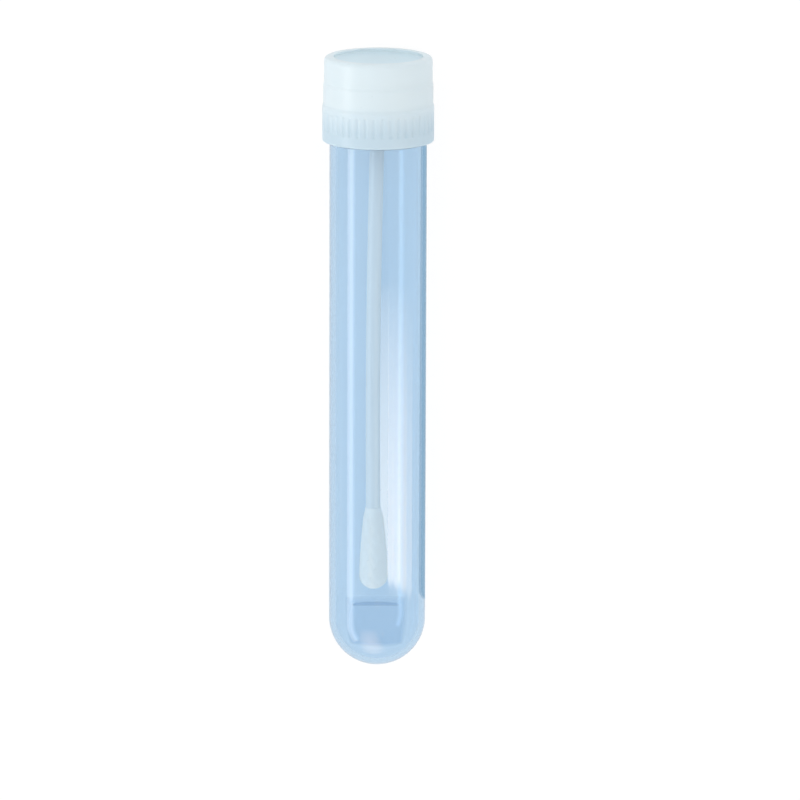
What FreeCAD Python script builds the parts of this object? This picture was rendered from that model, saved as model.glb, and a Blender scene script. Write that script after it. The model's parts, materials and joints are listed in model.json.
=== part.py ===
"""Specimen swab tube: a round-bottomed test tube, its screw cap, and a fibre-tipped swab held by the cap.

Every piece is drawn upright on the tube's axis, in millimetres, with z = 0 at the lowest point of the
tube's round end. The pieces are then laid down together along +Y, the way a capped tube comes to rest:
on its round end and on the edge of its cap.
"""

import FreeCAD, Part
import math
import os
import re

import Sketcher

SIZES = [
    # tube
    ("tube_length", 100.0),
    ("tube_radius", 8.0),
    ("tube_wall", 1.0),
    ("neck_step", 0.35),  # from the full-width wall in to the threaded neck
    ("rim_chamfer", 0.2),
    # right-hand screw thread of tube and cap
    ("thread_pitch", 3.0),
    ("thread_depth", 0.45),
    ("thread_crest", 0.6),
    ("thread_base", 1.3),
    ("thread_root", 0.25),  # how far a ridge reaches into the wall that carries it
    ("thread_drop", 3.4),  # from the rim down to the tube's last turn
    ("tube_turns", 1.35),
    ("cap_turns", 1.15),
    ("thread_play", 0.2),  # between the flanks, along the axis
    ("thread_gap", 0.2),  # between crest and root
    # cap
    ("cap_height", 14.0),
    ("skirt_wall", 0.88),
    ("middle_step", 0.16),
    ("crown_step", 0.12),
    ("crown_height", 4.5),
    ("grip_height", 5.9),
    ("crown_round", 0.9),
    ("lip_chamfer", 0.25),
    ("lead_in", 0.35),
    ("skirt_gap", 0.2),  # from the cap's lower edge down to the tube's full-width wall
    ("recess_rim", 1.6),  # from the outside of the crown in to the recess
    ("recess_depth", 0.5),
    ("recess_chamfer", 0.15),
    ("plate_thickness", 1.4),
    ("seat_step", 0.6),
    ("seat_gap", 0.1),
    ("plug_wall", 0.8),
    ("plug_length", 3.0),
    ("plug_gap", 0.07),
    ("plug_chamfer", 0.3),
    ("socket_wall", 0.95),
    ("socket_length", 6.2),
    ("socket_gap", 0.05),
    ("socket_chamfer", 0.2),
    ("flute_width", 0.8),
    ("flute_depth", 0.2),
    ("flute_length", 3.3),
    ("flute_height", 1.8),  # from the cap's lower edge to the flutes' lower ends
    # swab
    ("shaft_radius", 1.2),
    ("shaft_lean", 1.7),  # degrees, where the shaft leaves its socket
    ("bend_radius", 40.0),
    ("bow_radius", 1700.0),
    ("tip_height", 12.9),
    ("tip_length", 13.9),
    ("tip_radius", 2.36),
    ("tip_neck_radius", 1.45),
    ("tip_shoulder", 0.3),
    ("tip_cover", 1.6),
]
FLUTES = 42

# Heights and radii that follow from the sizes, as expressions
BORE = "(tube_radius - tube_wall)"
NECK_RADIUS = "(tube_radius - neck_step)"
TUBE_THREAD = "(tube_length - thread_drop - tube_turns * thread_pitch)"
# from a ridge of the tube down to the cap's ridge under it: half of each, where they overlap, and the play
RIDGE_OFFSET = (
    "(thread_play + thread_crest"
    " + (thread_base - thread_crest) / 2 * (thread_depth - thread_gap) / thread_depth)"
)
CAP_THREAD = f"({TUBE_THREAD} - {RIDGE_OFFSET})"
SKIRT_BORE = f"({NECK_RADIUS} + thread_depth + thread_gap)"
SEAT = "(tube_length + seat_gap)"
CEILING = f"({SEAT} + seat_step)"
RECESS_FLOOR = f"({CEILING} + plate_thickness)"
CAP_TOP = f"({RECESS_FLOOR} + recess_depth)"
CAP_EDGE = f"({CAP_TOP} - cap_height)"
SHOULDER = f"({CAP_EDGE} - skirt_gap)"
CAP_RADIUS = f"({SKIRT_BORE} + skirt_wall)"
MIDDLE_RADIUS = f"({CAP_RADIUS} - middle_step)"
CROWN_RADIUS = f"({MIDDLE_RADIUS} - crown_step)"
RECESS_RADIUS = f"({CROWN_RADIUS} - recess_rim)"
PLUG_RADIUS = f"({BORE} - plug_gap)"
SOCKET_RADIUS = "(shaft_radius + socket_gap)"
BOSS_RADIUS = f"({SOCKET_RADIUS} + socket_wall)"
SOCKET_MOUTH = f"({CEILING} - socket_length)"
SHAFT_TOP = f"({CEILING} - seat_gap)"
TIP_TOP = "(tip_height + tip_length)"
BOW_TOP = f"({SOCKET_MOUTH} - bend_radius * sin(shaft_lean))"
# the bow turns the shaft back past upright, so that it ends leaning a little the other way
END_LEAN = f"asin(({BOW_TOP} - {TIP_TOP}) / bow_radius - sin(shaft_lean))"
BEND_X = "bend_radius * (1 - cos(shaft_lean))"
BOW_X = f"{BEND_X} + bow_radius * (cos({END_LEAN}) - cos(shaft_lean))"

doc = FreeCAD.newDocument("specimen_swab_tube")
sheet = doc.addObject("Spreadsheet::Sheet", "Sizes")
for row, (alias, number) in enumerate(SIZES, start=1):
    sheet.set(f"A{row}", str(number))
    sheet.setAlias(f"A{row}", alias)
doc.recompute()


def bound(expression):
    """The expression with each size's alias read from the sheet."""
    return re.sub(r"\b([a-z]+_[a-z_]+)\b", r"Sizes.\1", expression)


def value(expression):
    """The expression's present value."""
    return float(sheet.evalExpression(bound(expression)))


def bind(thing, prop, expression):
    thing.setExpression(prop, bound(expression))


def new_body(label):
    body = doc.addObject("PartDesign::Body", label)
    body.Label = label
    return body


def new_sketch(body, name, plane="XZ_Plane"):
    """An empty sketch on one of the body's own planes; on XZ_Plane x is the radius and y the height."""
    sketch = body.newObject("Sketcher::SketchObject", name)
    origin = next(o for o in body.Origin.OriginFeatures if o.Role == plane)
    sketch.AttachmentSupport = [(origin, "")]
    sketch.MapMode = "FlatFace"
    return sketch


def constrain(sketch, kind, *which, expression):
    number = sketch.addConstraint(Sketcher.Constraint(kind, *which, value(expression)))
    sketch.renameConstraint(number, f"{kind}{number}")
    bind(sketch, f"Constraints.{kind}{number}", expression)


def place_point(sketch, geometry, end, x, y):
    """Ties a point of the sketch to its two coordinates; "0" is on the sketch's own axis."""
    if x == "0":
        sketch.addConstraint(Sketcher.Constraint("PointOnObject", geometry, end, -2))
    else:
        constrain(sketch, "DistanceX", -1, 1, geometry, end, expression=x)
    if y == "0":
        sketch.addConstraint(Sketcher.Constraint("PointOnObject", geometry, end, -1))
    else:
        constrain(sketch, "DistanceY", -1, 1, geometry, end, expression=y)


def arc_between(start, finish, radius, side):
    """The short arc between two points; side is 1 if its centre is on the left of the way, else -1."""
    chord = finish - start
    height = math.sqrt(radius**2 - (chord.Length / 2) ** 2)
    left = FreeCAD.Vector(-chord.y, chord.x, 0).normalize()
    centre = (start + finish) / 2 + left * side * height
    first, last = (start, finish) if side > 0 else (finish, start)
    a, b = (math.atan2(p.y - centre.y, p.x - centre.x) for p in (first, last))
    return Part.ArcOfCircle(Part.Circle(centre, FreeCAD.Vector(0, 0, 1), radius), a, b)


def chain(sketch, points, closed):
    """Joins points (x, y) by straight edges; (x, y, radius, side) starts an arc to the next point."""
    at = [FreeCAD.Vector(value(p[0]), value(p[1]), 0) for p in points]
    ends = []
    for i in range(len(points) if closed else len(points) - 1):
        start, finish = at[i], at[(i + 1) % len(points)]
        if len(points[i]) == 2:
            ends.append((sketch.addGeometry(Part.LineSegment(start, finish)), 1, 2))
            continue
        radius, side = points[i][2:]
        edge = sketch.addGeometry(arc_between(start, finish, value(radius), side))
        ends.append((edge, 1, 2) if side > 0 else (edge, 2, 1))
    for i, (edge, start, finish) in enumerate(ends):
        if closed or i + 1 < len(ends):
            after, its_start, _ = ends[(i + 1) % len(ends)]
            sketch.addConstraint(Sketcher.Constraint("Coincident", edge, finish, after, its_start))
        place_point(sketch, edge, start, *points[i][:2])
        if len(points[i]) == 4:
            constrain(sketch, "Radius", edge, expression=points[i][2])
    if not closed:
        place_point(sketch, ends[-1][0], ends[-1][2], *points[-1])


def eased(points):
    """Replaces each corner (x, y, "round" or "chamfer", size), between edges along x and y, by two points."""
    out = []
    for i, point in enumerate(points):
        if len(point) == 2 or point[2] not in ("round", "chamfer"):
            out.append(point)
            continue
        x, y, kind, size = point
        ways = []
        for other in (points[i - 1], points[(i + 1) % len(points)]):
            dx, dy = value(other[0]) - value(x), value(other[1]) - value(y)
            sign = "+" if dx + dy > 0 else "-"
            along_x = abs(dx) > abs(dy)
            ways.append((dx, dy, (f"{x} {sign} {size}", y) if along_x else (x, f"{y} {sign} {size}")))
        (ax, ay, before), (bx, by, after) = ways
        turn = 1 if ay * bx - ax * by > 0 else -1
        out.append(before + (size, turn) if kind == "round" else before)
        out.append(after)
    return out


def revolved(body, name, points, kind="PartDesign::Revolution"):
    """Turns a closed outline of (radius, height) points about the body's axis."""
    sketch = new_sketch(body, f"{name}_outline")
    chain(sketch, eased(points), closed=True)
    feature = body.newObject(kind, name)
    feature.Profile = sketch
    feature.ReferenceAxis = (sketch, ["V_Axis"])
    feature.Angle = 360
    return feature


def ridge(body, name, points, turns):
    """Sweeps a closed outline of (radius, height) points along the thread's right-hand helix."""
    sketch = new_sketch(body, f"{name}_outline")
    chain(sketch, points, closed=True)
    feature = body.newObject("PartDesign::AdditiveHelix", name)
    feature.Profile = sketch
    feature.ReferenceAxis = (sketch, ["V_Axis"])
    feature.Mode = "pitch-turns-angle"
    bind(feature, "Pitch", "thread_pitch")
    bind(feature, "Turns", turns)
    return feature


def thread_outline(foot, root, crest, height):
    """A trapezoid ridge: foot lies inside the wall, root is the wall's face and crest the ridge's top."""
    low, high = f"{height} - thread_base / 2", f"{height} + thread_base / 2"
    crest_low, crest_high = f"{height} - thread_crest / 2", f"{height} + thread_crest / 2"
    return [(foot, low), (root, low), (crest, crest_low), (crest, crest_high), (root, high), (foot, high)]


def make_tube():
    body = new_body("tube")
    revolved(
        body,
        "tube_wall",
        [
            ("0", "0", "tube_radius", 1),
            ("tube_radius", "tube_radius"),
            ("tube_radius", SHOULDER),
            (NECK_RADIUS, f"{SHOULDER} + neck_step"),
            (NECK_RADIUS, "tube_length", "chamfer", "rim_chamfer"),
            (BORE, "tube_length", "chamfer", "rim_chamfer"),
            (BORE, "tube_radius", BORE, -1),
            ("0", "tube_wall"),
        ],
    )
    ridge(
        body,
        "tube_thread",
        thread_outline(
            f"{NECK_RADIUS} - thread_root", NECK_RADIUS, f"{NECK_RADIUS} + thread_depth", TUBE_THREAD
        ),
        "tube_turns",
    )
    return body


def make_cap():
    body = new_body("screw_cap")
    revolved(
        body,
        "cap_shell",
        [
            (SKIRT_BORE, CAP_EDGE, "chamfer", "lead_in"),
            (CAP_RADIUS, CAP_EDGE, "chamfer", "lip_chamfer"),
            (CAP_RADIUS, f"{CAP_EDGE} + grip_height"),
            (MIDDLE_RADIUS, f"{CAP_EDGE} + grip_height + middle_step"),
            (MIDDLE_RADIUS, f"{CAP_TOP} - crown_height"),
            (CROWN_RADIUS, f"{CAP_TOP} - crown_height + crown_step"),
            (CROWN_RADIUS, CAP_TOP, "round", "crown_round"),
            (RECESS_RADIUS, CAP_TOP, "chamfer", "recess_chamfer"),
            (RECESS_RADIUS, RECESS_FLOOR),
            ("0", RECESS_FLOOR),
            ("0", CEILING),
            (SOCKET_RADIUS, CEILING),
            (SOCKET_RADIUS, SOCKET_MOUTH, "chamfer", "socket_chamfer"),
            (BOSS_RADIUS, SOCKET_MOUTH, "chamfer", "socket_chamfer"),
            (BOSS_RADIUS, CEILING),
            (f"{PLUG_RADIUS} - plug_wall", CEILING),
            (f"{PLUG_RADIUS} - plug_wall", f"{SEAT} - plug_length"),
            (PLUG_RADIUS, f"{SEAT} - plug_length", "chamfer", "plug_chamfer"),
            (PLUG_RADIUS, SEAT),
            (SKIRT_BORE, SEAT),
        ],
    )
    ridge(
        body,
        "cap_thread",
        thread_outline(
            f"{SKIRT_BORE} + thread_root", SKIRT_BORE, f"{SKIRT_BORE} - thread_depth", CAP_THREAD
        ),
        "cap_turns",
    )
    add_flutes(body)
    return body


def add_flutes(body):
    """Cuts the fine V-shaped flutes of the finger grip into the cap's lower band."""
    sketch = new_sketch(body, "flute_outline", "XY_Plane")
    bind(sketch, "AttachmentOffset.Base.z", f"{CAP_EDGE} + flute_height + flute_length")
    root, outside = f"{CAP_RADIUS} - flute_depth", f"{CAP_RADIUS} + flute_depth"
    chain(sketch, [(root, "0"), (outside, "-flute_width"), (outside, "flute_width")], closed=True)
    pocket = body.newObject("PartDesign::Pocket", "flute")
    pocket.Profile = sketch
    bind(pocket, "Length", "flute_length")
    pattern = body.newObject("PartDesign::PolarPattern", "flutes")
    pattern.Originals = [pocket]
    axis = next(o for o in body.Origin.OriginFeatures if o.Role == "Z_Axis")
    pattern.Axis = (axis, [""])
    pattern.Angle = 360
    pattern.Occurrences = FLUTES
    body.Tip = pattern


def make_shaft():
    """A thin rod: straight in its socket, a slight bend at the mouth, a long shallow bow, and a straight
    end inside the fibre tip. It is drawn leaning towards +X."""
    body = new_body("swab_shaft")
    end_length = "(tip_length - tip_cover)"
    path = new_sketch(body, "shaft_path")
    chain(
        path,
        [
            ("0", SHAFT_TOP),
            ("0", SOCKET_MOUTH, "bend_radius", 1),
            (BEND_X, BOW_TOP, "bow_radius", -1),
            (BOW_X, TIP_TOP),
            (
                f"{BOW_X} - {end_length} * sin({END_LEAN})",
                f"{TIP_TOP} - {end_length} * cos({END_LEAN})",
            ),
        ],
        closed=False,
    )
    section = new_sketch(body, "shaft_section", "XY_Plane")
    bind(section, "AttachmentOffset.Base.z", SHAFT_TOP)
    circle = section.addGeometry(
        Part.Circle(FreeCAD.Vector(), FreeCAD.Vector(0, 0, 1), value("shaft_radius"))
    )
    section.addConstraint(Sketcher.Constraint("Coincident", circle, 3, -1, 1))
    constrain(section, "Radius", circle, expression="shaft_radius")
    rod = body.newObject("PartDesign::AdditivePipe", "shaft_rod")
    rod.Profile = section
    rod.Spine = (path, ["Edge1", "Edge2", "Edge3", "Edge4"])
    return body


def make_tip():
    """The wound fibre tip, drawn on its own axis with its lower end at z = 0."""
    body = new_body("swab_tip")
    revolved(
        body,
        "tip_fibre",
        [
            ("0", "0", "tip_radius", 1),
            ("tip_radius", "tip_radius"),
            ("tip_neck_radius", "tip_length - tip_shoulder"),
            ("shaft_radius", "tip_length"),
            ("shaft_radius", "tip_cover"),
            ("0", "tip_cover"),
        ],
    )
    return body


def tip_placement():
    """Where the tip sits on the lower end of the shaft."""
    x = value(f"{BOW_X} - tip_length * sin({END_LEAN})")
    z = value(f"{TIP_TOP} - tip_length * cos({END_LEAN})")
    lean = FreeCAD.Rotation(FreeCAD.Vector(0, 1, 0), value(END_LEAN))
    return FreeCAD.Placement(FreeCAD.Vector(x, 0, z), lean)


def lying():
    """The capped tube at rest on its side, its axis along +Y and rising towards the wider cap."""
    end, cap = value("tube_radius"), value(CAP_RADIUS)
    reach = value(f"{CAP_EDGE} + lip_chamfer - tube_radius")
    tilt = math.atan2(cap, reach) - math.asin(end / math.hypot(reach, cap))
    crown = value("crown_round")
    crown_reach = value(f"{CAP_TOP} - tube_radius") - crown
    crown_width = value(CROWN_RADIUS) - crown
    front = crown_reach * math.cos(tilt) + crown_width * math.sin(tilt) + crown
    turn = FreeCAD.Rotation(FreeCAD.Vector(1, 0, 0), math.degrees(tilt) - 90)
    centre = FreeCAD.Placement(FreeCAD.Vector(0, (end - front) / 2, end), turn)
    return centre * FreeCAD.Placement(FreeCAD.Vector(0, 0, -end), FreeCAD.Rotation())


def check(pieces):
    for thing in doc.Objects:
        if {"Invalid", "Error"} & set(thing.State):
            raise RuntimeError(f"{thing.Name} did not compute: {thing.State}")
    for piece in pieces:
        if piece.Shape.isNull() or not piece.Shape.isValid() or len(piece.Shape.Solids) != 1:
            raise RuntimeError(f"{piece.Label} is not one valid solid")


def main():
    tube, cap, shaft, tip = make_tube(), make_cap(), make_shaft(), make_tip()
    # the swab leans towards -X, so shaft and tip are turned half way round
    half_turn = FreeCAD.Placement(FreeCAD.Vector(), FreeCAD.Rotation(FreeCAD.Vector(0, 0, 1), 180))
    rest = lying()
    tube.Placement = rest
    cap.Placement = rest
    shaft.Placement = rest * half_turn
    tip.Placement = rest * half_turn * tip_placement()
    doc.recompute()
    pieces = (tube, cap, shaft, tip)
    check(pieces)
    os.makedirs("parts", exist_ok=True)
    for piece in pieces:
        piece.Shape.exportStep(f"parts/{piece.Label}.step")
        print(f"{piece.Label}: {piece.Shape.Volume:.1f} mm3, {len(piece.Shape.Faces)} faces")


main()
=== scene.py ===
"""Looks of the specimen swab tube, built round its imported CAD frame.

The tube lies along +Y with its cap at the far end, and the camera looks down on it. The sizes of its
pieces are named in mm. Those of the studio, and those given with MM, are in metres.
"""

import math

import bpy
import json
import numpy as np
from mathutils import Matrix, Vector

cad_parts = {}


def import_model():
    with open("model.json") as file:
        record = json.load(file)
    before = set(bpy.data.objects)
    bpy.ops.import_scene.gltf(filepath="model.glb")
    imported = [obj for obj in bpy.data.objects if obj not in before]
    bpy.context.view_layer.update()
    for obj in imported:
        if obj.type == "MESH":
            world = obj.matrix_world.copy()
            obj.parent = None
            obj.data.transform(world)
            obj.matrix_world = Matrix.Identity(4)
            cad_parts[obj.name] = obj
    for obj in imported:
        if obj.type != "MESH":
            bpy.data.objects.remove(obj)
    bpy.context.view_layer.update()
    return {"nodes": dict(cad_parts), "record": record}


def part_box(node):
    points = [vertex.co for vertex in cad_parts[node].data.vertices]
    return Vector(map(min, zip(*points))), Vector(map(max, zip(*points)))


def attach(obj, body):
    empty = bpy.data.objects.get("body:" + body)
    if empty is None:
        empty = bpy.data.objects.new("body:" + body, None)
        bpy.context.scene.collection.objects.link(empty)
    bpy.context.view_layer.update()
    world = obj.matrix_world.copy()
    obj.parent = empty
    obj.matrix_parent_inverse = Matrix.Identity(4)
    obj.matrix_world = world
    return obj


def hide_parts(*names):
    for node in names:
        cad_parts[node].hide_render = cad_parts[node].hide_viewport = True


MM = 0.001

# Camera: it looks down on the lying tube, from a little beyond the cap's end
CAMERA_DISTANCE = 1.2
CAMERA_TILT = math.radians(11.65)  # from the vertical towards the cap
CAMERA_ROLL = math.radians(0.18)
CAMERA_LENS = 326.4
AIM_HEIGHT = 44.9 * MM  # along the tube, from its round end
AIM_SIDE = 3.71 * MM  # to the right of the tube

# Heights are above the lowest point of the tube's round end
# Tube
WALL = 1.0
NECK_RADIUS = 7.65
SHOULDER = 88.4
TUBE_TOP = 100.0
SEGMENTS = 256  # round the tube and the tip
ARC_STEPS = 40  # in each round end
# Screw thread of tube and cap
PITCH = 3.0
RIDGE_DEPTH = 0.45
RIDGE_BASE = 1.3
RIDGE_CREST = 0.6
RIDGE_FADE = math.radians(12)
TUBE_RIDGE = (92.55, 1.35)  # where the ridge starts, and its turns
CAP_RIDGE = (91.556, 1.15)
# Cap
CAP_RADIUS = 9.18
MIDDLE_RADIUS = 9.02
CROWN_RADIUS = 8.9
RECESS_RADIUS = 7.3
SKIRT_BORE = 8.3
PLUG_RADIUS = 6.93
PLUG_BORE = 6.13
BOSS_RADIUS = 2.2
SOCKET_RADIUS = 1.25
CAP_EDGE = 88.6
CEILING = 100.7
SEAT = 100.1
SOCKET_MOUTH = 94.5
PLUG_END = 97.1
RECESS_FLOOR = 102.1
CAP_TOP = 102.6
GRIP_TOP = 94.5
CROWN_FOOT = 98.1
STEP_BELOW = 0.15  # each step slopes inwards from this far below its height
STEP_ABOVE = 0.3  # to this far above it
FLUTES = 42
FLUTE_SEGMENTS = 8
FLUTE_FOOT = 90.4
FLUTE_LENGTH = 3.3
FLUTE_WIDTH = 0.8
FLUTE_DEPTH = 0.14
FLUTE_RUN_OUT = 0.15
# Fibre tip
TIP_WIDEST = 2.3  # height of its widest place
TIP_TAPER = 1.48  # 1 is a straight cone, and more is a fuller one
TIP_NECK = 1.45
TIP_CLOSE = 2.2  # height over which the fibre closes on the shaft
TIP_END = 1.27
WINDING_DEPTH = 0.035
WINDING = ((9, 3.1, 0.5), (-7, 2.3, 0.3), (23, -5.2, 0.2))  # strands, slope in radians per mm, share
FIBRES = 1500
FIBRE_RADIUS = 0.008
FIBRE_RINGS = 5
FIBRE_SIDES = 3
FIBRE_ROOT = 0.02  # how deep a fibre's ends are in the tip

# Studio
FLOOR_HALF = 3.0
PANEL_DISTANCE = 0.3
PANEL_LENGTH = 0.064
WARM = (1.0, 0.78, 0.55)
WARMER = (1.0, 0.66, 0.32)
# The softbox on the right: start and end of each part in degrees, its brightness and its colour
PANEL = ((25.3, 37, 6.9, WARM), (37, 55, 6.9, WARM), (55, 73, 4.8, WARMER), (73, 91, 2.8, WARM))

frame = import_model()
NODES = frame["nodes"]
MOUNT = frame["record"]["mounts"][0]
TUBE_RADIUS = MOUNT["dims"]["r_mm"]
TUBE_AXIS = -Vector(MOUNT["axis"])  # from the round end to the cap
FOOT = Vector(MOUNT["pos_m"]) - TUBE_AXIS * (MOUNT["dims"]["length_mm"] / 2 + TUBE_RADIUS) * MM


def on_axis(height):
    """The point of the tube's axis at a height, in metres, above the lowest point of its round end."""
    return FOOT + TUBE_AXIS * height


def lay(foot, axis):
    """The matrix that lays a piece drawn upright, in mm, along an axis that starts at foot."""
    side = Vector((1, 0, 0))
    across = axis.cross(side).normalized()
    turn = Matrix((across.cross(axis), across, axis)).transposed()
    return Matrix.Translation(foot) @ (turn * MM).to_4x4()


def new_object(name, data):
    thing = bpy.data.objects.new(name, data)
    bpy.context.scene.collection.objects.link(thing)
    return thing


def new_mesh(name, vertices, faces):
    mesh = bpy.data.meshes.new(name)
    mesh.from_pydata(vertices, [], faces)
    return mesh


def smooth_piece(name, vertices, faces, placement):
    mesh = new_mesh(name, vertices, faces)
    mesh.transform(placement)
    mesh.shade_smooth()
    return new_object(name, mesh)


# ---------------------------------------------------------------- turned pieces


def arc(middle, radius, start, end):
    """Points (distance from the axis, height) of an arc about a point of the axis, between two angles."""
    angles = np.radians(np.linspace(start, end, ARC_STEPS + 1))
    return [(radius * math.cos(angle), middle + radius * math.sin(angle)) for angle in angles]


def rounded(corners, spacing=2.0):
    """An outline through corners (radius, height, rounding, and, for a finer run after it, its spacing)."""
    places = [Vector(corner[:2]) for corner in corners]
    points = [places[0]]
    steps = [corners[0][3] if len(corners[0]) > 3 else spacing]
    for i in range(1, len(corners) - 1):
        here = places[i]
        to_before = (places[i - 1] - here).normalized()
        to_after = (places[i + 1] - here).normalized()
        reach = corners[i][2]
        start, end = here + to_before * reach, here + to_after * reach
        points.append(start + to_before * reach / 2)
        curve_points = 5 if reach < 0.5 else 9
        for share in np.linspace(0, 1, curve_points):
            points.append(start * (1 - share) ** 2 + here * 2 * share * (1 - share) + end * share**2)
        points.append(end + to_after * reach / 2)
        steps += [reach] * (len(points) - len(steps) - 1)
        steps.append(corners[i][3] if len(corners[i]) > 3 else spacing)
    points.append(places[-1])
    out = []
    for start, end, step in zip(points, points[1:], steps):
        count = max(1, math.ceil((end - start).length / step))
        out += [tuple(start.lerp(end, k / count)) for k in range(count)]
    return out + [tuple(points[-1])]


def turned(name, outline, segments, placement, shape):
    """A closed piece turned from an outline that starts and ends on the axis.

    Its solid lies on the left of the outline's way. shape(turn, radius, height) gives what is added to
    the radius.
    """
    outline = np.array(outline)
    turn = np.arange(segments) * math.tau / segments
    radius, height = (np.repeat(outline[1:-1, k : k + 1], segments, 1) for k in (0, 1))
    radius = radius + shape(turn[None, :], radius, height)
    rings = np.stack((radius * np.cos(turn), radius * np.sin(turn), height), -1).reshape(-1, 3)
    poles = [(0, 0, outline[0, 1]), (0, 0, outline[-1, 1])]
    vertices = np.vstack((rings, poles))
    rows = len(outline) - 2
    index = np.arange(rows * segments).reshape(rows, segments)
    after = np.roll(index, -1, 1)
    quads = np.stack((index[:-1], after[:-1], after[1:], index[1:]), -1).reshape(-1, 4).tolist()
    first, last = len(vertices) - 2, len(vertices) - 1
    fans = [(first, second, one) for one, second in zip(index[0].tolist(), after[0].tolist())]
    fans += [(last, one, second) for one, second in zip(index[-1].tolist(), after[-1].tolist())]
    return smooth_piece(name, vertices.tolist(), quads + fans, placement)


def ridge(turn, height, start, turns):
    """How far a thread's ridge stands out at a place, from 0 to 1. It fades out at both ends."""
    most = np.zeros(np.broadcast(turn, height).shape)
    slope = (RIDGE_BASE - RIDGE_CREST) / 2
    for lap in range(math.ceil(turns)):
        along = turn + lap * math.tau
        off = np.abs(height - start - PITCH * along / math.tau)
        rise = np.clip((RIDGE_BASE / 2 - off) / slope, 0, 1)
        ends = np.clip(np.minimum(along, turns * math.tau - along) / RIDGE_FADE, 0, 1)
        most = np.maximum(most, rise * ends)
    return most


def stand_in(piece, node, body, material):
    """Shows a piece instead of a CAD node and moves it with the node's body."""
    piece.data.materials.append(material)
    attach(piece, body)
    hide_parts(node)


def tube():
    """The tube: a round end, the straight wall, the shoulder and the threaded neck."""
    bore = TUBE_RADIUS - WALL
    outside = arc(TUBE_RADIUS, TUBE_RADIUS, -90, 0)
    wall = rounded(
        [
            (TUBE_RADIUS, TUBE_RADIUS, 0),
            (TUBE_RADIUS, SHOULDER, 0.1, 0.2),
            (NECK_RADIUS, SHOULDER + TUBE_RADIUS - NECK_RADIUS, 0.1, 0.15),
            (NECK_RADIUS, TUBE_TOP, 0.2),
            (bore, TUBE_TOP, 0.2),
            (bore, TUBE_RADIUS, 0),
        ]
    )
    inside = arc(TUBE_RADIUS, bore, 0, -90)

    def thread(turn, radius, height):
        return np.isclose(radius, NECK_RADIUS) * RIDGE_DEPTH * ridge(turn, height, *TUBE_RIDGE)

    return turned("tube_wall", outside[:-1] + wall + inside[1:], SEGMENTS, lay(FOOT, TUBE_AXIS), thread)


def cap():
    """The cap: its socket, plug, threaded skirt, fluted grip, two steps, crown and recess."""
    outline = rounded(
        [
            (0, CEILING, 0),
            (SOCKET_RADIUS, CEILING, 0.1),
            (SOCKET_RADIUS, SOCKET_MOUTH, 0.2),
            (BOSS_RADIUS, SOCKET_MOUTH, 0.2),
            (BOSS_RADIUS, CEILING, 0.2),
            (PLUG_BORE, CEILING, 0.2),
            (PLUG_BORE, PLUG_END, 0.2),
            (PLUG_RADIUS, PLUG_END, 0.3),
            (PLUG_RADIUS, SEAT, 0.1),
            (SKIRT_BORE, SEAT, 0.2, 0.2),
            (SKIRT_BORE, CAP_EDGE, 0.3),
            (CAP_RADIUS, CAP_EDGE, 0.25, 0.2),
            (CAP_RADIUS, GRIP_TOP - STEP_BELOW, 0.15),
            (MIDDLE_RADIUS, GRIP_TOP + STEP_ABOVE, 0.15),
            (MIDDLE_RADIUS, CROWN_FOOT - STEP_BELOW, 0.14),
            (CROWN_RADIUS, CROWN_FOOT + STEP_ABOVE, 0.14),
            (CROWN_RADIUS, CAP_TOP, 0.9),
            (RECESS_RADIUS, CAP_TOP, 0.15),
            (RECESS_RADIUS, RECESS_FLOOR, 0.15),
            (0, RECESS_FLOOR, 0),
        ]
    )
    pitch = math.tau / FLUTES

    def grip_and_thread(turn, radius, height):
        off = np.abs((turn + pitch / 2) % pitch - pitch / 2) * CAP_RADIUS
        groove = np.clip(1 - off / (FLUTE_WIDTH / 2), 0, 1)
        groove = groove**2 * (3 - 2 * groove)
        ends = np.minimum(height - FLUTE_FOOT, FLUTE_FOOT + FLUTE_LENGTH - height)
        groove = groove * np.clip(ends / FLUTE_RUN_OUT, 0, 1) * np.isclose(radius, CAP_RADIUS)
        thread = np.isclose(radius, SKIRT_BORE) * ridge(turn, height, *CAP_RIDGE)
        return -FLUTE_DEPTH * groove - RIDGE_DEPTH * thread

    return turned("cap_shell", outline, FLUTE_SEGMENTS * FLUTES, lay(FOOT, TUBE_AXIS), grip_and_thread)


# ---------------------------------------------------------------- fibre tip


def tip_frame():
    """The CAD tip's lower end, axis, radius and length; radius and length in mm."""
    low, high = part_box("swab_tip")
    radius = (high.x - low.x) / 2
    middle = Vector(((low.x + high.x) / 2, low.y + radius, (low.z + high.z) / 2))
    vertices = [v.co for v in NODES["swab_tip"].data.vertices]
    reach = max(v.dot(TUBE_AXIS) for v in vertices)
    rim = np.array([v for v in vertices if v.dot(TUBE_AXIS) > reach - 0.05 * MM])
    neck = Vector((rim.min(0) + rim.max(0)) / 2)
    axis = (neck - middle).normalized()
    return middle - axis * radius, axis, radius / MM, (neck - middle).length / MM + radius / MM


def tip_radius(height, wide, length):
    """The fibre tip's radius at a height above its lower end: a teardrop, fullest near that end."""
    below = np.clip(1 - height / TIP_WIDEST, 0, 1)
    share = np.clip((height - TIP_WIDEST) / (length - TIP_WIDEST), 0, 1)
    close = np.clip((height - length + TIP_CLOSE) / TIP_CLOSE, 0, 1) ** 2
    side = (wide - (wide - TIP_NECK) * share**TIP_TAPER) * (1 - close) + TIP_END * close
    return np.where(height < TIP_WIDEST, wide * np.sqrt(1 - below**2), side)


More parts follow.
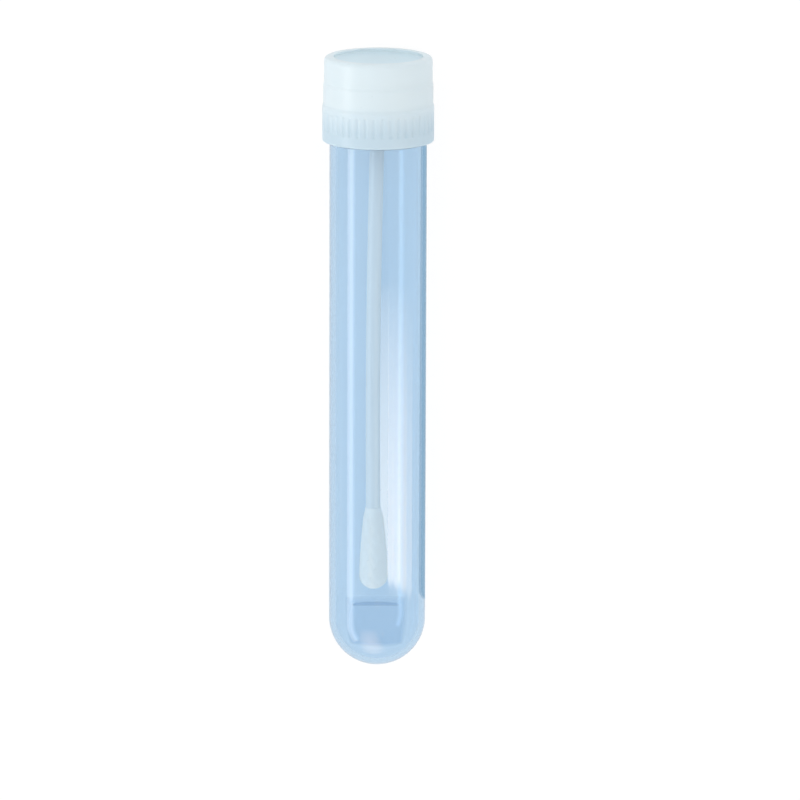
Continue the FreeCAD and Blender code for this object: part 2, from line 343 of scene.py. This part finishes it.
def tip():
    """The wound fibre tip, with the relief of its winding. Its upper end closes smoothly on the shaft."""
    end, axis, wide, length = tip_frame()
    angles = np.radians(np.linspace(-90, 0, ARC_STEPS))
    heights = np.append(TIP_WIDEST * (1 + np.sin(angles)), np.linspace(TIP_WIDEST, length, 200)[1:])
    outline = list(zip(tip_radius(heights, wide, length), heights)) + [(0, length)]

    def winding(turn, radius, height):
        relief = 0
        for strands, slope, share in WINDING:
            relief = relief + share * np.sin(strands * turn + slope * height)
        # it fades towards both ends
        low, high = np.clip(radius / wide, 0, 1), np.clip((length - height) / TIP_CLOSE, 0, 1)
        return WINDING_DEPTH * relief * low * high

    return turned("fibre_tip", outline, SEGMENTS, lay(end, axis), winding)


def fibre(path):
    """The vertices and faces of one fibre along a path."""
    vertices, faces = [], []
    last = len(path) - 1
    for i, point in enumerate(path):
        ahead = (path[min(i + 1, last)] - path[max(i - 1, 0)]).normalized()
        side = ahead.cross(Vector((0, 0, 1) if abs(ahead.z) < 0.9 else (1, 0, 0))).normalized()
        other = ahead.cross(side)
        for corner in range(FIBRE_SIDES):
            spin = corner * math.tau / FIBRE_SIDES
            vertices.append(point + (side * math.cos(spin) + other * math.sin(spin)) * FIBRE_RADIUS)
    top = last * FIBRE_SIDES
    for start in range(0, top, FIBRE_SIDES):
        for corner in range(FIBRE_SIDES):
            one, second = start + corner, start + (corner + 1) % FIBRE_SIDES
            faces.append((one, second, second + FIBRE_SIDES, one + FIBRE_SIDES))
    faces += [tuple(reversed(range(FIBRE_SIDES))), tuple(range(top, top + FIBRE_SIDES))]
    return vertices, faces


def loose_fibres():
    """Short fine fibre ends that stand off the wound tip."""
    end, axis, wide, length = tip_frame()
    rng = np.random.default_rng(7)
    starts = rng.uniform(0.4, length - 1.0, FIBRES)
    turns = rng.uniform(0, math.tau, FIBRES)
    sweeps = rng.normal(0, 0.9, FIBRES)  # radians from round the tip towards along it
    reaches = rng.uniform(0.25, 0.7, FIBRES)
    lifts = rng.uniform(0.02, 0.16, FIBRES)
    vertices, faces = [], []
    for start, turn, sweep, reach, lift in zip(starts, turns, sweeps, reaches, lifts):
        path = []
        for share in np.linspace(0, 1, FIBRE_RINGS):
            height = start + math.sin(sweep) * reach * share
            around = turn + math.cos(sweep) * reach * share / wide
            off = float(tip_radius(np.clip(height, 0.1, length), wide, length))
            off += lift * 4 * share * (1 - share) - FIBRE_ROOT
            path.append(Vector((off * math.cos(around), off * math.sin(around), height)))
        more_vertices, more_faces = fibre(path)
        faces += [[len(vertices) + corner for corner in face] for face in more_faces]
        vertices += more_vertices
    return smooth_piece("fibre_ends", vertices, faces, lay(end, axis))


# ---------------------------------------------------------------- nodes of a material


class Nodes:
    """A small helper that adds and links the nodes of one material, world or lamp."""

    def __init__(self, owner, output="ShaderNodeOutputMaterial"):
        self.output = output
        owner.use_nodes = True
        self.tree = owner.node_tree
        self.tree.nodes.clear()

    def set(self, socket, value):
        """Gives a socket a number, a vector, a colour of three numbers, or what another socket gives."""
        if isinstance(value, bpy.types.NodeSocket):
            self.tree.links.new(value, socket)
        elif socket.type == "RGBA":
            socket.default_value = (*value, 1)
        else:
            socket.default_value = value

    def add(self, kind, **inputs):
        """Adds a node. An input's name has _ for each space."""
        node = self.tree.nodes.new(kind)
        for name, value in inputs.items():
            self.set(node.inputs[name.replace("_", " ")], value)
        return node

    def operate(self, kind, operation, a, b):
        node = self.tree.nodes.new(kind)
        node.operation = operation
        self.set(node.inputs[0], a)
        self.set(node.inputs[1], b)
        return node.outputs["Value"]

    def math(self, operation, a, b):
        return self.operate("ShaderNodeMath", operation, a, b)

    def measure(self, operation, a, b):
        """The number that an operation, such as DISTANCE, gives for two vectors."""
        return self.operate("ShaderNodeVectorMath", operation, a, b)

    def place(self):
        return self.add("ShaderNodeTexCoord").outputs["Object"]

    def noise(self, scale, detail=2.0, stretch=(1, 1, 1)):
        mapping = self.add("ShaderNodeMapping", Vector=self.place(), Scale=stretch)
        node = self.add("ShaderNodeTexNoise", Vector=mapping.outputs[0], Scale=scale, Detail=detail)
        return node.outputs[0]

    def ramp(self, factor, low, high, start=0.0, end=1.0):
        """Maps a factor of start to end onto low to high."""
        ends = {"From_Min": start, "From_Max": end, "To_Min": low, "To_Max": high}
        return self.add("ShaderNodeMapRange", Value=factor, **ends).outputs[0]

    def blend(self, factor, low, high):
        """A colour from low to high."""
        node = self.tree.nodes.new("ShaderNodeMix")
        node.data_type = "RGBA"
        self.set(node.inputs["Factor"], factor)
        self.set(node.inputs["A"], low)
        self.set(node.inputs["B"], high)
        return node.outputs["Result"]

    def mix(self, factor, first, second):
        """A shader that is a share of the second and the rest of the first."""
        node = self.tree.nodes.new("ShaderNodeMixShader")
        self.set(node.inputs[0], factor)
        self.set(node.inputs[1], first)
        self.set(node.inputs[2], second)
        return node.outputs[0]

    def bump(self, height, distance):
        return self.add("ShaderNodeBump", Height=height, Distance=distance, Strength=1.0).outputs[0]

    def finish(self, surface, volume=None):
        output = self.add(self.output, Surface=surface)
        if volume is not None:
            self.set(output.inputs["Volume"], volume)


def new_material(name):
    material = bpy.data.materials.new(name)
    return material, Nodes(material)


# ---------------------------------------------------------------- materials


def tube_plastic():
    """Clear plastic with a blue tint in its wall. Lamps light what is in the tube as if it weren't there."""
    material, nodes = new_material("tube_plastic_clear_blue")
    ripple = nodes.noise(90, stretch=(1, 0.15, 1))
    # The moulded shoulder under the neck is matt; light that passes it is spread.
    height = nodes.measure("DOT_PRODUCT", nodes.place(), TUBE_AXIS)
    margin = 0.1
    ends = (SHOULDER - margin, SHOULDER + TUBE_RADIUS - NECK_RADIUS + margin)
    low, high = (on_axis(end * MM).dot(TUBE_AXIS) for end in ends)
    above, below = nodes.math("GREATER_THAN", height, low), nodes.math("LESS_THAN", height, high)
    matt = nodes.math("MULTIPLY", above, below)
    plastic = nodes.add(
        "ShaderNodeBsdfPrincipled",
        Base_Color=(0.92, 0.965, 1.0),
        Roughness=nodes.math("MAXIMUM", matt, nodes.ramp(nodes.noise(400), 0.015, 0.045)),
        IOR=1.55,
        Transmission_Weight=1.0,
        Normal=nodes.bump(ripple, 0.02 * MM),
    )
    lamp_light = nodes.add("ShaderNodeBsdfTransparent")
    path = nodes.add("ShaderNodeLightPath").outputs
    unseen = nodes.math("MAXIMUM", path["Is Shadow Ray"], path["Is Diffuse Ray"])
    absorption = nodes.add("ShaderNodeVolumeAbsorption", Color=(0.50, 0.72, 0.87), Density=500.0)
    nodes.finish(nodes.mix(unseen, plastic.outputs[0], lamp_light.outputs[0]), absorption.outputs[0])
    return material


def cap_plastic():
    """White translucent plastic with painted shade: darker and bluer towards the skirt and across the
    recess's floor, where it is thin over the dark inside.
    """
    material, nodes = new_material("cap_plastic_translucent")
    place = nodes.place()
    height = nodes.add("ShaderNodeSeparateXYZ", Vector=place).outputs["Y"]
    # painted shade: darker and bluer towards the skirt, fading out up to the crown
    crown = nodes.ramp(height, 0.0, 1.0, on_axis(91 * MM).y, on_axis(96 * MM).y)
    cloud = nodes.math("MULTIPLY", nodes.noise(120, detail=4), 0.25)
    tone_and_painted_shade = nodes.blend(nodes.math("ADD", crown, cloud), (0.60, 0.745, 0.83), (0.81, 0.91, 0.96))
    # painted shade: the recess's floor is darker and bluer
    off = nodes.measure("DISTANCE", place, on_axis(RECESS_FLOOR * MM))
    painted_recess_shade = nodes.ramp(off, 1.0, 0.0, 6.4 * MM, 7.7 * MM)
    plastic = nodes.add(
        "ShaderNodeBsdfPrincipled",
        Base_Color=nodes.blend(painted_recess_shade, tone_and_painted_shade, (0.70, 0.88, 0.98)),
        Roughness=nodes.ramp(nodes.noise(900), 0.25, 0.35),
        IOR=1.5,
        Subsurface_Weight=0.35,
        Subsurface_Radius=(1, 1, 1),
        Subsurface_Scale=0.5 * MM,
        Normal=nodes.bump(nodes.noise(1500, detail=3), 0.003 * MM),
    )
    through = nodes.add("ShaderNodeBsdfTranslucent", Color=(0.90, 0.96, 1.0))
    nodes.finish(nodes.mix(0.22, plastic.outputs[0], through.outputs[0]))
    return material


def shaft_plastic():
    material, nodes = new_material("shaft_plastic_white")
    plastic = nodes.add(
        "ShaderNodeBsdfPrincipled",
        Base_Color=nodes.blend(nodes.noise(60), (0.84, 0.83, 0.82), (0.88, 0.86, 0.84)),
        Roughness=nodes.ramp(nodes.noise(700, stretch=(1, 0.1, 1)), 0.22, 0.36),
        IOR=1.5,
        Subsurface_Weight=0.1,
        Subsurface_Radius=(1, 1, 1),
        Subsurface_Scale=0.4 * MM,
    )
    nodes.finish(plastic.outputs[0])
    return material


def tip_fibre():
    material, nodes = new_material("tip_fibre_white")
    matt = nodes.add(
        "ShaderNodeBsdfPrincipled",
        Base_Color=nodes.blend(nodes.noise(500, detail=4), (1.0, 0.93, 0.87), (1.0, 0.96, 0.91)),
        Roughness=0.85,
        Sheen_Weight=0.2,
        Normal=nodes.bump(nodes.noise(2500, detail=4, stretch=(1, 0.2, 1)), 0.05 * MM),
    )
    nodes.finish(matt.outputs[0])
    return material


# ---------------------------------------------------------------- studio


def world():
    studio = bpy.data.worlds.new("studio")
    bpy.context.scene.world = studio
    nodes = Nodes(studio, "ShaderNodeOutputWorld")
    nodes.finish(nodes.add("ShaderNodeBackground", Color=(1, 1, 1), Strength=1.0).outputs[0])


def floor():
    """A white floor that keeps the part's shadow. The view and the reflections see it partly as a glow."""
    corners = [(x * FLOOR_HALF, y * FLOOR_HALF, 0) for x, y in ((-1, -1), (1, -1), (1, 1), (-1, 1))]
    plane = new_object("floor", new_mesh("floor", corners, [(0, 1, 2, 3)]))
    material, nodes = new_material("floor_white")
    matt = nodes.add("ShaderNodeBsdfDiffuse", Color=(0.92, 0.92, 0.92))
    glow = nodes.add("ShaderNodeEmission", Color=(1, 1, 1), Strength=1.04)
    path = nodes.add("ShaderNodeLightPath").outputs
    mirrored = nodes.math("MAXIMUM", path["Is Glossy Ray"], path["Is Transmission Ray"])
    mirrored_share = nodes.math("MULTIPLY", mirrored, 0.5)
    share = nodes.math("MAXIMUM", nodes.math("MULTIPLY", path["Is Camera Ray"], 0.85), mirrored_share)
    nodes.finish(nodes.mix(share, matt.outputs[0], glow.outputs[0]))
    plane.data.materials.append(material)


def reflected(degrees):
    """The direction that the tube mirrors to the camera, at an angle from the vertical, + to the right."""
    angle = math.radians(degrees)
    lie = -math.sin(CAMERA_TILT)
    return Vector((math.sin(angle) * math.cos(CAMERA_TILT), lie, math.cos(angle) * math.cos(CAMERA_TILT)))


def lamp(name, towards, distance, size, brightness, aim=AIM_HEIGHT, colour=(1, 1, 1)):
    """A rectangular lamp in a direction from the tube's axis at the height aim, and facing it.

    The second side of its size lies along the tube.
    """
    light = bpy.data.lights.new(name, "AREA")
    light.shape = "RECTANGLE"
    light.size, light.size_y = size
    light.energy = brightness * math.pi * size[0] * size[1]
    light.color = colour
    back = Vector(towards).normalized()
    side = Vector((0, 1, 0)).cross(back).normalized()
    turn = Matrix((side, back.cross(side), back)).transposed().to_4x4()
    holder = new_object(name, light)
    holder.matrix_world = Matrix.Translation(on_axis(aim) + back * distance) @ turn
    holder.visible_camera = False
    return holder


def lamp_nodes(holder):
    """The nodes of a lamp, and the shares of the way across it and along it."""
    nodes = Nodes(holder.data, "ShaderNodeOutputLight")
    place = nodes.add("ShaderNodeNewGeometry").outputs["Parametric"]
    return (nodes, *nodes.add("ShaderNodeSeparateXYZ", Vector=place).outputs[:2])


def soften(holder):
    """Makes a lamp brightest at its middle and dark at its edges."""
    nodes, across, along = lamp_nodes(holder)
    glow = 9.0  # and times 1/16 at the middle
    for share in (across, along):
        falling = nodes.math("SUBTRACT", 1.0, share)
        glow = nodes.math("MULTIPLY", glow, nodes.math("MULTIPLY", share, falling))
    nodes.finish(nodes.add("ShaderNodeEmission", Strength=glow).outputs[0])


def fade(holder):
    """Lets a lamp's light grow from nothing at its upper end, and end softly at its lower end."""
    nodes, _, along = lamp_nodes(holder)
    growth = nodes.math("SUBTRACT", 1.0, nodes.math("MULTIPLY", along, along))
    growth = nodes.math("MULTIPLY", growth, nodes.ramp(along, 0.0, 1.0, 0.0, 0.03))
    nodes.finish(nodes.add("ShaderNodeEmission", Strength=growth).outputs[0])


def lamps():
    """The studio's lamps. Those that make the tube's bright streaks don't light the rest."""
    strip = lamp(
        "strip_left",
        reflected(-68.5),
        distance=0.6,
        size=(0.17, 0.9),
        brightness=2.4,
        colour=(1.0, 0.93, 0.88),
    )
    strip.visible_diffuse = False
    # a tall curved softbox on the right, brighter at its lower end
    for start, end, brightness, colour in PANEL:
        width = 2 * PANEL_DISTANCE * math.tan(math.radians(end - start) / 2)
        panel = lamp(
            "panel_right",
            reflected((start + end) / 2),
            distance=PANEL_DISTANCE,
            size=(width, PANEL_LENGTH),
            brightness=brightness,
            aim=33 * MM,
            colour=colour,
        )
        panel.visible_diffuse = panel.visible_transmission = False
        fade(panel)
    # a soft patch in the round end
    front = lamp(
        "low_front",
        (-0.24, -0.9, 0.6),
        distance=0.4,
        size=(0.34, 0.6),
        brightness=5.0,
        aim=8 * MM,
        colour=(1.0, 0.68, 0.45),
    )
    front.visible_diffuse = front.visible_transmission = False
    soften(front)
    # a narrow beam on the fibre tip
    spot = lamp(
        "spot_tip",
        reflected(-85),
        distance=0.3,
        size=(0.005, 0.014),
        brightness=0.9,
        aim=18 * MM,
        colour=(1.0, 0.66, 0.36),
    )
    spot.data.spread = math.radians(3)
    spot.visible_glossy = spot.visible_transmission = False
    key = lamp("key_left", reflected(-60), distance=0.8, size=(0.5, 0.8), brightness=1.15)
    key.visible_glossy = key.visible_transmission = False


def card(name, across, along, colour, strength=1.0, lift=0.02, soft=0.05, bow=0.0, fades=None, walls=9):
    """A glowing card on the floor that only reflections and the clear walls show: painted shade where its
    colour is dark, painted light where it is bright. Its sizes are in mm.

    Its sides fade over the width soft, and so do its ends, unless fades gives the lengths over which the
    lower and the upper one fade. Its ends bow by the depth bow. walls is the most surfaces of clear
    plastic through which it shows.
    """
    left, right = (side * MM for side in across)
    low, high = (on_axis(height * MM).y for height in along)
    corners = []
    for share in np.linspace(0, 1, 17):
        x = left + (right - left) * share
        sag = bow * MM * (2 * share - 1) ** 2
        corners += [(x, low - sag, lift * MM), (x, high - sag, lift * MM)]
    faces = [(i, i + 2, i + 3, i + 1) for i in range(0, len(corners) - 2, 2)]
    piece = new_object(name, new_mesh(name, corners, faces))
    piece.visible_camera = piece.visible_diffuse = piece.visible_shadow = False
    material, nodes = new_material(name)
    piece.data.materials.append(material)
    x, y = nodes.add("ShaderNodeSeparateXYZ", Vector=nodes.place()).outputs[:2]
    start, stop = (length * MM for length in fades or (soft, soft))
    side = soft * MM
    share = nodes.ramp(x, 0.0, 1.0, left, left + side)
    share = nodes.math("MINIMUM", share, nodes.ramp(x, 1.0, 0.0, right - side, right))
    share = nodes.math("MINIMUM", share, nodes.ramp(y, 0.0, 1.0, low, low + start))
    upper = nodes.math("POWER", nodes.ramp(y, 1.0, 0.0, high - stop, high), 0.6)
    share = nodes.math("MINIMUM", share, upper)
    crossed = nodes.add("ShaderNodeLightPath").outputs["Transmission Depth"]
    share = nodes.math("MULTIPLY", share, nodes.math("LESS_THAN", crossed, walls + 0.5))
    clear = nodes.add("ShaderNodeBsdfTransparent")
    # its glow paints shade with a dark colour and light with a bright one
    painted_shade_and_light = nodes.add("ShaderNodeEmission", Color=colour, Strength=strength)
    nodes.finish(nodes.mix(share, clear.outputs[0], painted_shade_and_light.outputs[0]))


def cards():
    """Painted shade and painted light that the tube's walls show besides the white floor: its shadow beside
    it, shade under its round end, a dark line where that end meets the straight wall, and a glowing panel
    behind the swab.
    """
    # painted shadow: the tube's own shadow on the floor at its right, seen through its right edge
    card("painted_shadow_side", across=(9, 20), along=(9, 86), colour=(0.50, 0.64, 0.73), walls=2)
    # painted shade: the floor in shade under the round end
    card("painted_shade_end", across=(-6.6, 6.0), along=(-0.6, 9.8), colour=(0.63, 0.74, 0.86), soft=1.2, bow=0.2)
    # painted shade: a dark line where the round end meets the straight wall
    card(
        "painted_shade_line",
        across=(-4.9, 4.2),
        along=(8.05, 8.85),
        colour=(0.42, 0.54, 0.70),
        lift=0.03,
        soft=0.25,
        bow=0.4,
    )
    # painted light: a glowing panel behind the swab, seen through the walls
    card(
        "painted_glow_panel",
        across=(-1.2, 2.12),
        along=(12, 63),
        colour=(1.0, 0.85, 0.77),
        strength=1.45,
        soft=0.3,
        fades=(5, 35),
    )


def camera():
    data = bpy.data.cameras.new("camera")
    data.lens = CAMERA_LENS
    holder = new_object("camera", data)
    turn = Matrix.Rotation(-CAMERA_TILT, 4, "X") @ Matrix.Rotation(CAMERA_ROLL, 4, "Z")
    aim = on_axis(AIM_HEIGHT) + Vector((AIM_SIDE, 0, 0))
    holder.matrix_world = Matrix.Translation(aim + turn.to_3x3().col[2] * CAMERA_DISTANCE) @ turn
    bpy.context.scene.camera = holder


def dress():
    """Gives every piece its looks. Tube, cap and tip get finer stand-ins, and the shaft a material."""
    stand_in(tube(), "tube", "tube", tube_plastic())
    stand_in(cap(), "screw_cap", "cap", cap_plastic())
    fibre_white = tip_fibre()
    stand_in(tip(), "swab_tip", "swab", fibre_white)
    ends = loose_fibres()
    ends.data.materials.append(fibre_white)
    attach(ends, "swab")
    slots = NODES["swab_shaft"].data.materials
    slots.clear()
    slots.append(shaft_plastic())


bpy.context.scene.view_settings.view_transform = "Standard"
world()
floor()
cards()
lamps()
camera()
dress()
